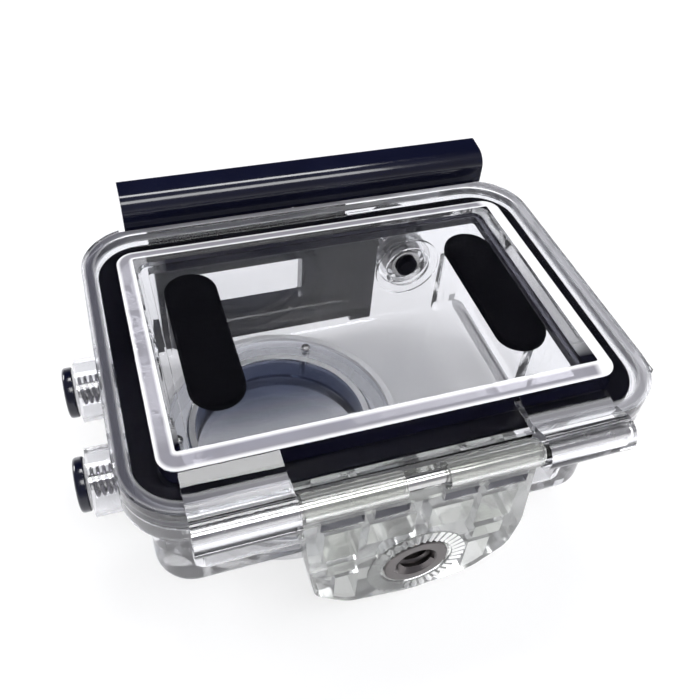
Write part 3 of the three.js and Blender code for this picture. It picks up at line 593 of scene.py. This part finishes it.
# Back door
def makeBackDoor():
    size = {"thick": 3, "window": (68.2, 44.6, 2.9), "slope": 2.7, "rise": 0.8, "plugLow": -4.5,
            "web": 1.15, "webEnd": -23.2, "tab": (-21.5, -18.1), "plug": (61.2, 41.2, 1.8),
            "plugInside": (58.8, 38.8, 0.6), "latchSide": (-32.6, 35.3), "sharp": 0.2}
    door = objectOf(plate(rim["width"], rim["height"], rim["corner"], -size["thick"], 0), "backDoor")
    window = plate(*size["window"], -1.5, 0)
    top = [f for f in window.faces if all(abs(v.co.z) < hair for v in f.verts)]
    bmesh.ops.inset_region(window, faces=top, thickness=size["slope"], depth=0, use_even_offset=True)
    raised = list(dict.fromkeys(v for f in top for v in f.verts))  # kept in order, so each run is the same
    bmesh.ops.translate(window, vec=(0, 0, size["rise"]), verts=raised)
    bmesh.ops.remove_doubles(window, verts=raised, dist=size["sharp"])  # the raised face has sharp corners
    plug = plate(*size["plug"], size["plugLow"], -2.5)
    pieces = [window, plug]
    for side in (-1, 1):
        ends = sorted(hinge["x"] + side * along for along in (hinge["lug"], hinge["half"]))
        web = [(hinge["y"], hinge["z"] + hinge["barrel"]), (-27.9, size["web"]), (-26.2, size["web"] + 0.36),
               (-24.5, size["web"] + 0.6), (size["webEnd"] - 0.5, size["web"] + 0.7), (size["webEnd"], 0),
               (size["webEnd"], -1.5), (-28.5, -3), (hinge["y"], hinge["z"] - hinge["barrel"])]
        pieces += [prism(web, "X", *ends), rodX(hinge["barrel"], *ends, hinge["y"], hinge["z"])]
    tab = [(39.0, -3), (41.2, -3), (41.2, -2), (39.0, -1.5)]
    pieces.append(roundedPrism(tab, "Y", *size["tab"], 0.2, 2))
    union(door, *pieces)
    lean = [(31, -2.6), (29, -2.6), (28.1, 0), (28.1, 3), (31, 3)]
    cut(door, plate(*size["plugInside"], -8, -3), prism(lean, "X", *size["latchSide"]),
        rodX(hinge["hole"], -40, 40, hinge["y"], hinge["z"]))
    finish(door, "door", doorPlastic, ["back_door"], edge=0.2, steps=3, angle=13.5,
           crease=14)
    print("back door made")


# Seal and foam pads
def makeDoorSeal():
    size = {"outer": (74.4, 52.4, 7.2), "inner": (67.2, 45.2, 3.6), "low": -4.9, "high": -3.3, "edge": 0.4}
    ring = objectOf(plate(*size["outer"], size["low"], size["high"]), "doorSeal")
    cut(ring, plate(*size["inner"], size["low"] - 1, size["high"] + 1))
    finish(ring, "shell", sealRubber, ["door_seal"], edge=size["edge"], steps=4)


def makePads():
    size = {"width": 8.4, "length": 28.4, "low": -4.8, "high": -3.3, "edge": 0.45, "fill": 0.6}
    places = (("leftPad", "left_foam_pad", -23.6, 2.7), ("rightPad", "right_foam_pad", 24.8, 1.8))
    for name, node, x, y in places:
        pad = plate(size["width"], size["length"], size["width"] / 2 - 0.02, size["low"], size["high"], 16)
        for level in (size["low"], size["high"]):
            roundRim(pad, level, size["edge"], 4)
        bmesh.ops.translate(pad, vec=(x, y, 0), verts=pad.verts)
        piece = finish(objectOf(pad, name), "door", padFoam, [node])
    print("seal and pads made")


# Hinge pin, mount foot and its insert
def makePin(name, node, bodyName, radius, x0, x1, y, z):
    pin = rodX(radius, x0, x1, y, z, 32)
    finish(objectOf(pin, name), bodyName, brightSteel, [node], edge=0.2, steps=2)


def makeMountFoot():
    size = {"face": -32.4, "back": -23.8, "insertZ": -21.2, "pocket": 5.3, "teeth": 36, "toothHigh": 0.45,
            "pockets": ((-14.6, -9.4, -15.5, -8.5), (-8.2, -1.2, -13.6, -8.5), (1.0, 7.4, -13.6, -8.5),
                        (8.6, 14.4, -15.5, -8.5), (-13.8, -9.4, -20, -17), (9.2, 13.8, -20, -17)),
            "slots": ((-8, -3), (-15.5, -9.5), (2, 7), (8.5, 14.5)), "slotLow": -6, "slotHigh": -4.1,
            "slotBack": -29.8, "coresAt": (-10.6, 10.6), "core": 1.8, "toothIn": 5.7, "toothOut": 7.7,
            "toothRoot": 0.03, "toothSunk": -0.05}
    outline = [(hinge["x"] - hinge["knuckle"], -1), (-16.6, -17), (-15.6, -23.5), (-10.3, -28.3), (0, -30),
               (10.3, -28.3), (15.6, -23.5), (16.6, -17), (hinge["x"] + hinge["knuckle"], -1)]
    foot = objectOf(roundedPrism(outline, "Y", size["face"], size["back"], 1.4, 6), "mountFoot")
    top = block(hinge["x"] - hinge["knuckle"], hinge["x"] + hinge["knuckle"], size["face"], -24, -6, -1)
    union(foot, top)
    cut(foot, block(-50, 50, -29.3, 0, body["flangeLow"] - 0.3, 3))
    knuckles = []
    for side in (-1, 1):
        ends = sorted(hinge["x"] + side * along for along in (hinge["slot"], hinge["knuckle"]))
        knuckles.append(rodX(hinge["footBarrel"], *ends, hinge["y"], hinge["z"]))
    union(foot, *knuckles)
    slots = [block(*ends, -34, size["slotBack"], size["slotLow"], size["slotHigh"]) for ends in size["slots"]]
    cores = [block(x - size["core"], x + size["core"], -30.7, -26.7, -31, -21) for x in size["coresAt"]]
    cores += [block(x0, x1, -30.6, -23, z0, z1) for x0, x1, z0, z1 in size["pockets"]]
    pocket = rod(size["pocket"], (0, -34, size["insertZ"]), (0, -24.7, size["insertZ"]), 64)
    cut(foot, *slots, *cores, pocket, rodX(hinge["hole"], -32, 32, hinge["y"], hinge["z"]))
    finish(foot, "shell", cloudyPlastic, ["mount_foot"], edge=0.2, steps=2)
    at, out = (0, size["face"], size["insertZ"]), (0, size["face"] - 1, size["insertZ"])
    teeth = turned(ringSection(size["toothIn"], size["toothOut"], size["toothSunk"], size["toothRoot"]),
                   sides=2 * size["teeth"])
    for vert in teeth.verts:
        turn = math.degrees(math.atan2(vert.co.y, vert.co.x))
        if vert.co.z > 0 and round(turn * size["teeth"] / 180) % 2:
            vert.co.z = size["toothHigh"]
    bmesh.ops.transform(teeth, matrix=towards(at, out)[0], verts=teeth.verts)
    finish(objectOf(teeth, "footTeeth"), "shell", toothPlastic, [])
    print("mount foot made")


def makeInsert():
    size = {"face": -32.4, "z": -21.2, "outer": 5.0, "bore": 2.75, "proud": 0.2, "low": -7.4, "pitch": 1.27,
            "turns": 5, "stepsPerTurn": 32, "ridge": 0.45, "rings": 5, "ringEvery": 1.2}
    at, out = (0, size["face"], size["z"]), (0, size["face"] - 1, size["z"])
    profile = [(size["bore"], size["low"]), (size["outer"], size["low"])]
    for k in range(size["rings"]):
        low = size["low"] + 1.0 + size["ringEvery"] * k
        profile += [(size["outer"], low), (size["outer"] - 0.3, low + 0.2), (size["outer"] - 0.3, low + 0.5),
                    (size["outer"], low + 0.7)]
    profile += [(size["outer"], size["proud"] - 0.15), (size["outer"] - 0.15, size["proud"]),
                (3.35, size["proud"]), (size["bore"], size["proud"] - 0.6)]
    insert = objectOf(turned(profile, at, out, 72), "threadedInsert")
    place, _ = towards(at, out)
    thread = bmesh.new()
    section = ((size["bore"] + 0.1, 0, size["low"] + 0.5), (size["bore"] + 0.1, 0, size["low"] + 1.5),
               (size["bore"] - size["ridge"], 0, size["low"] + 1.0))
    thread.faces.new([thread.verts.new(spot) for spot in section])
    bmesh.ops.spin(thread, geom=thread.verts[:] + thread.edges[:], cent=(0, 0, 0), axis=(0, 0, 1),
                   angle=2 * math.pi * size["turns"], steps=size["stepsPerTurn"] * size["turns"],
                   dvec=(0, 0, size["pitch"] / size["stepsPerTurn"]))
    bmesh.ops.holes_fill(thread, edges=thread.edges)
    bmesh.ops.transform(thread, matrix=place, verts=thread.verts)
    bmesh.ops.recalc_face_normals(thread, faces=thread.faces)
    ridge = objectOf(thread, "thread")
    whole = bmesh.new()
    for part in (insert, ridge):
        whole.from_mesh(part.data)
    whole.to_mesh(insert.data)
    bpy.data.objects.remove(ridge)
    finish(insert, "shell", darkNickel, ["threaded_insert"], angle=30)
    print("threaded insert made")


# Lens port
def makeLensPort():
    size = {"glass": 16.0, "glassLow": -32.2, "glassHigh": -30.2, "ringIn": 14.6, "plate": -25.7,
            "plateHigh": -25.0, "rim": 20.3, "rimIn": 19.2, "rimHigh": -24.2, "head": 0.9, "shank": 0.5,
            "sealRadius": 15.35, "sealHeight": -33.1, "sealThick": 0.6, "screwHole": 0.8}
    start, end = (lens["x"], 0, 0), (lens["x"], 0, 1)
    glass = turned([(0, size["glassLow"]), (size["glass"] - 0.3, size["glassLow"]),
                    (size["glass"], size["glassLow"] + 0.3), (size["glass"], size["glassHigh"] - 0.3),
                    (size["glass"] - 0.3, size["glassHigh"]), (0, size["glassHigh"])], start, end, 96, False)
    finish(objectOf(glass, "lensGlass"), "shell", paintedReflectionGlass, ["lens_window"])
    seal = roundSection(size["sealRadius"], size["sealHeight"], size["sealThick"], 16)
    finish(objectOf(turned(seal, start, end, 96), "lensSeal"), "shell", sealRubber,
           ["lens_seal"])
    profile = [(size["ringIn"], size["glassHigh"] + 0.3), (size["glass"], size["glassHigh"] + 0.3),
               (size["glass"], size["plate"]), (size["rim"], size["plate"]), (size["rim"], size["rimHigh"]),
               (size["rimIn"], size["rimHigh"]), (size["rimIn"], size["plateHigh"]),
               (size["ringIn"] + 1.2, size["plateHigh"]), (size["ringIn"] + 1.0, size["plateHigh"] + 0.3),
               (size["ringIn"], size["plateHigh"] + 0.3)]
    ring = objectOf(turned(profile, start, end, 96), "lensRing")
    holes = [rodZ(size["screwHole"], -30, -20, *screwPlace(angle), 24) for angle in lens["angles"]]
    cut(ring, block(-60, -30.7, -30, 30, -32, -20), *holes)
    finish(ring, "shell", ringPlastic, ["lens_ring"], edge=0.12, steps=2)
    for number, angle in enumerate(lens["angles"], 1):
        x, y = screwPlace(angle)
        screw = turned([(0, -30.5), (size["shank"], -30.5), (size["shank"], -24.85), (size["head"], -24.85),
                        (size["head"], -24.5), (0.72, -24.22), (0, -24.15)], (x, y, 0), (x, y, 1), 32, False)
        screwObject = objectOf(screw, f"ringScrew{number}")
        cut(screwObject, block(x - 0.55, x + 0.55, y - 0.1, y + 0.1, -24.45, -24),
            block(x - 0.1, x + 0.1, y - 0.55, y + 0.55, -24.45, -24))
        finish(screwObject, "shell", brightSteel, [f"ring_screw_{number}"])
    print("lens port made")


# Latch
def makeLatch():
    arm = {"left": -28, "right": 8, "in": 26.0, "out": 28.8, "jogIn": 29.4, "jogOut": 32.2, "top": -3.6,
           "window": (19.5, 9.5, 0.5), "windowAt": (-11.15, 27.4, -15.85), "neck": (-18, -2), "eye": 1.7,
           "pivotHole": 1.3, "barHole": 1.1}
    barSize = {"left": -31.6, "right": 34.3,
               "ridges": ((28.4, 5.1, 2.4), (34.8, 5.9, 1.2), (34.5, -1.6, 0.8))}
    bracket = objectOf(block(-31.2, 12.4, 23.8, 24.5, pivot["z"] - 0.6, pivot["z"] + 2.9), "latchBracket")
    ear = [(23.8, -27.4), (27.8, -27.4), (29.4, -25.8), (29.4, -24.0), (27.8, -22.4), (23.8, -22.4)]
    union(bracket, prism(ear, "X", -31.2, -28.3), prism(ear, "X", 8.3, 12.4),
          block(8.3, 12.4, 23.8, 28.8, pivot["z"], body["flangeLow"] - 0.3))
    cut(bracket, rodX(arm["pivotHole"], -33, 14, pivot["y"], pivot["z"]))
    finish(bracket, "shell", glossBlack, ["latch_bracket"], edge=0.3, steps=3)
    section = [(arm["in"], pivot["z"]), (arm["in"], -10.4), (arm["jogIn"], -7.8),
               (arm["jogIn"], arm["top"]), (arm["jogOut"], arm["top"]), (arm["jogOut"], -8.1),
               (arm["out"], -10.7), (arm["out"], pivot["z"])]
    latchArm = objectOf(prism(section, "X", arm["left"], arm["right"]), "latchArm")
    union(latchArm, rodX(2.6, arm["left"], arm["right"], pivot["y"], pivot["z"]),
          block(*arm["neck"], 30.5, arm["jogOut"], arm["top"] - 0.5, pivot["barZ"]),
          rodX(arm["eye"], *arm["neck"], pivot["barY"], pivot["barZ"]))
    window = plate(*arm["window"], -10, 10)
    upright = Matrix.Translation(arm["windowAt"]) @ Matrix.Rotation(math.pi / 2, 4, "X")
    bmesh.ops.transform(window, matrix=upright, verts=window.verts)
    cut(latchArm, window, rodX(arm["pivotHole"], -29, 9, pivot["y"], pivot["z"]),
        rodX(arm["barHole"], -19, -1, pivot["barY"], pivot["barZ"]))
    finish(latchArm, "arm", glossBlack, ["latch_arm"], edge=0.35, steps=3)
    profile = [(28.4, 0), (28.4, 5.1), (34.8, 5.9), (34.5, -1.6), (30.25, -1.6), (30.25, -2.6), (29.35, -2.6)]
    bar = prism(profile, "X", barSize["left"], barSize["right"])
    for y, z, width in barSize["ridges"]:
        corner = [e for e in bar.edges
                  if all(abs(v.co.y - y) < hair and abs(v.co.z - z) < hair for v in e.verts)]
        bevelEdges(bar, corner, width, 6)
    latchBar = objectOf(bar, "latchBar")
    cut(latchBar, block(-18.3, -1.7, 29.3, 36, -4, 2.4), block(-18.3, -1.7, 27, 36, -4, -0.3),
        rodX(arm["barHole"], -22.3, 2.3, pivot["barY"], pivot["barZ"]))
    finish(latchBar, "bar", glossBlack, ["latch_bar"], edge=0.5, steps=4)
    print("latch made")


# Push buttons
def makeButton(name, kind):
    size = {"travel": 1.6, "cap": 4.15, "shaft": 1.2, "shaftIn": -2.1, "clip": (1.5, 2.9, -2.1, -1.6),
            "oRing": (1.85, 1.75, 0.35), "washer": (1.5, 3.9, 2.9, 3.4),
            "wire": 0.26, "coil": 2.1, "coilLow": 3.96, "pitch": 0.9}
    reach = kind["reach"]
    under = reach - size["travel"]
    rider = f"{name}_button"
    stem = name.split("_")[0]
    cap = buttonTurned([(0, under), (3.95, under), (size["cap"], under + 0.2), (size["cap"], reach - 0.55),
                        (4.08, reach - 0.28), (3.9, reach - 0.1), (3.6, reach), (2.6, reach - 0.02),
                        (0, reach - 0.08)], kind, False, 64)
    finish(objectOf(cap, f"{stem}Cap"), rider, glossBlack, [f"{name}_cap"])
    shaft = buttonRod(size["shaft"], size["shaftIn"], under - 0.3, kind, 32)
    finish(objectOf(shaft, f"{stem}Shaft"), rider, brightSteel, [f"{name}_shaft"], edge=0.15)
    clip = buttonTurned(ringSection(*size["clip"]), kind)
    finish(objectOf(clip, f"{stem}Clip"), rider, brightSteel, [f"{name}_clip"], edge=0.1)
    tip = buttonTurned([(0, -3.3), (1.6, -3.3), (2.0, -2.95), (2.0, -2.4), (0, -2.4)], kind, False)
    finish(objectOf(tip, f"{stem}Tip"), rider, sealRubber, [f"{name}_tip"])
    ring = buttonTurned(roundSection(*size["oRing"], 12), kind)
    finish(objectOf(ring, f"{stem}ORing"), "shell", sealRubber, [f"{name}_o_ring"])
    washer = buttonTurned(ringSection(*size["washer"]), kind)
    finish(objectOf(washer, f"{stem}Washer"), "shell", brightSteel, [f"{name}_washer"], edge=0.1)
    spring = coil(size["wire"], size["coil"], size["coilLow"], under - 0.58, size["pitch"],
                  onAxis(kind, 0), onAxis(kind, 1))
    springObject = objectOf(spring, f"{stem}Spring")
    finish(springObject, None, springSteel, [f"{name}_spring"])
    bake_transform(springObject)


# Stage
def makeCamera():
    view = {"at": (-34.75, -82.57, 84.99), "right": (0.94668, -0.31473, 0.06880),
            "up": (0.18358, 0.70251, 0.68759), "back": (-0.26474, -0.63830, 0.72283),
            "focal": 793.3, "frame": 700, "sensor": 36}
    camera = bpy.data.objects.new("camera", bpy.data.cameras.new("camera"))
    bpy.context.scene.collection.objects.link(camera)
    turn = Matrix((view["right"], view["up"], view["back"])).transposed().to_4x4()
    camera.matrix_world = Matrix.Translation(toRow @ Vector(view["at"])) @ turn
    camera.data.sensor_width = view["sensor"]
    camera.data.lens = view["focal"] / view["frame"] * view["sensor"]
    camera.data.clip_start = 0.001
    bpy.context.scene.camera = camera


def rayShare(nodes, links, *kinds):
    path = nodes.new("ShaderNodeLightPath")
    value = path.outputs[kinds[0]]
    for kind in kinds[1:]:
        either = nodes.new("ShaderNodeMath")
        either.operation = "MAXIMUM"
        links.new(value, either.inputs[0])
        links.new(path.outputs[kind], either.inputs[1])
        value = either.outputs[0]
    return value


def makeFloor():
    look = {"white": (0.93, 0.93, 0.95, 1), "glow": 1.0, "seen": 0.75, "through": 0.3, "size": 2.0}
    bm = bmesh.new()
    bmesh.ops.create_grid(bm, x_segments=1, y_segments=1, size=look["size"])
    floor = objectOf(bm, "floor")
    material = bpy.data.materials.new("floorWhite")
    material.use_nodes = True
    nodes, links = material.node_tree.nodes, material.node_tree.links
    nodes.clear()
    output = nodes.new("ShaderNodeOutputMaterial")
    matt = nodes.new("ShaderNodeBsdfDiffuse")
    matt.inputs["Color"].default_value = look["white"]
    glow = nodes.new("ShaderNodeEmission")
    glow.inputs["Strength"].default_value = look["glow"]
    direct = combine(material, "MULTIPLY", rayShare(nodes, links, "Is Camera Ray"), look["seen"])
    through = rayShare(nodes, links, "Is Glossy Ray", "Is Transmission Ray")
    share = combine(material, "MAXIMUM", direct, combine(material, "MULTIPLY", through, look["through"]))
    mix = nodes.new("ShaderNodeMixShader")
    links.new(share, mix.inputs["Fac"])
    links.new(matt.outputs["BSDF"], mix.inputs[1])
    links.new(glow.outputs["Emission"], mix.inputs[2])
    links.new(mix.outputs["Shader"], output.inputs["Surface"])
    floor.data.materials.append(material)


def makeWorld():
    look = {"heights": (0.0, 0.12, 0.32, 1.0),
            "tones": ((1.0, 1.0, 1.0), (0.5, 0.5, 0.55), (0.3, 0.3, 0.33), (0.25, 0.25, 0.28)),
            "screen": (0.012, 0.012, 0.02), "screenAt": (0.265, 0.638, 0.723), "screenEdge": (0.74, 0.86)}
    world = bpy.data.worlds.new("studio")
    bpy.context.scene.world = world
    world.use_nodes = True
    nodes, links = world.node_tree.nodes, world.node_tree.links
    nodes.clear()
    output = nodes.new("ShaderNodeOutputWorld")
    place = nodes.new("ShaderNodeTexCoord")
    split = nodes.new("ShaderNodeSeparateXYZ")
    ramp = nodes.new("ShaderNodeValToRGB")
    ramp.color_ramp.elements.new(look["heights"][1])
    ramp.color_ramp.elements.new(look["heights"][2])
    for element, height, tone in zip(ramp.color_ramp.elements, look["heights"], look["tones"]):
        element.position = height
        element.color = (*tone, 1)
    room = nodes.new("ShaderNodeBackground")
    seen = nodes.new("ShaderNodeBackground")
    seen.inputs["Color"].default_value = (1, 1, 1, 1)
    mix = nodes.new("ShaderNodeMixShader")
    links.new(place.outputs["Generated"], split.inputs["Vector"])
    links.new(split.outputs["Z"], ramp.inputs["Fac"])
    toScreen = nodes.new("ShaderNodeVectorMath")  # a black screen stands behind the housing
    toScreen.operation = "DOT_PRODUCT"
    toScreen.inputs[1].default_value = look["screenAt"]
    links.new(place.outputs["Generated"], toScreen.inputs[0])
    edge = nodes.new("ShaderNodeMapRange")
    edge.inputs["From Min"].default_value = look["screenEdge"][0]
    edge.inputs["From Max"].default_value = look["screenEdge"][1]
    links.new(toScreen.outputs["Value"], edge.inputs["Value"])
    tone = mixIn(nodes, links, edge.outputs["Result"], "RGBA", ramp.outputs["Color"], (*look["screen"], 1))
    links.new(tone, room.inputs["Color"])
    links.new(rayShare(nodes, links, "Is Camera Ray"), mix.inputs["Fac"])
    links.new(room.outputs["Background"], mix.inputs[1])
    links.new(seen.outputs["Background"], mix.inputs[2])
    links.new(mix.outputs["Shader"], output.inputs["Surface"])


def makeLamp(name, place, target, size, power):
    lamp = bpy.data.lights.new(name, "AREA")
    lamp.shape = "RECTANGLE"
    lamp.size, lamp.size_y = size
    lamp.energy = power
    obj = bpy.data.objects.new(name, lamp)
    bpy.context.scene.collection.objects.link(obj)
    aim = (Vector(target) - Vector(place)).to_track_quat("-Z", "Y")
    obj.matrix_world = Matrix.Translation(place) @ aim.to_matrix().to_4x4()


def makeLamps():
    aim = (0, 0, 0.02)
    makeLamp("overheadSoftbox", (0.03, 0.235, 0.68), aim, (0.4, 0.17), 2.9)
    makeLamp("nearSoftbox", (0.03, -0.3, 0.62), aim, (0.45, 0.2), 2.6)
    makeLamp("farLeftSoftbox", (-0.5, 0.45, 0.32), aim, (0.25, 0.25), 2.6)
    makeLamp("rightSoftbox", (0.6, -0.1, 0.35), aim, (0.3, 0.3), 2.4)


makeCamera()
paintLensPortReflection()
paintFootLightAndShade()
paintShellHighlight()
paintDoorLightAndShade()
makeFrontShell()
makeBackDoor()
makeDoorSeal()
makePads()
makePin("hingePin", "hinge_pin", "shell", hinge["pin"], hinge["x"] - hinge["half"],
        hinge["x"] + hinge["half"], hinge["y"], hinge["z"])
makeMountFoot()
makeInsert()
makeLensPort()
makeLatch()
makePin("latchPivotPin", "latch_pivot_pin", "shell", 1.0, -31.2, 12.4, pivot["y"], pivot["z"])
makePin("latchBarPin", "latch_bar_pin", "arm", 0.8, -22, 2, pivot["barY"], pivot["barZ"])
for name, kind in buttonKinds.items():
    makeButton(name, kind)
print("buttons made")
makeFloor()
makeWorld()
makeLamps()
print("scene ready")
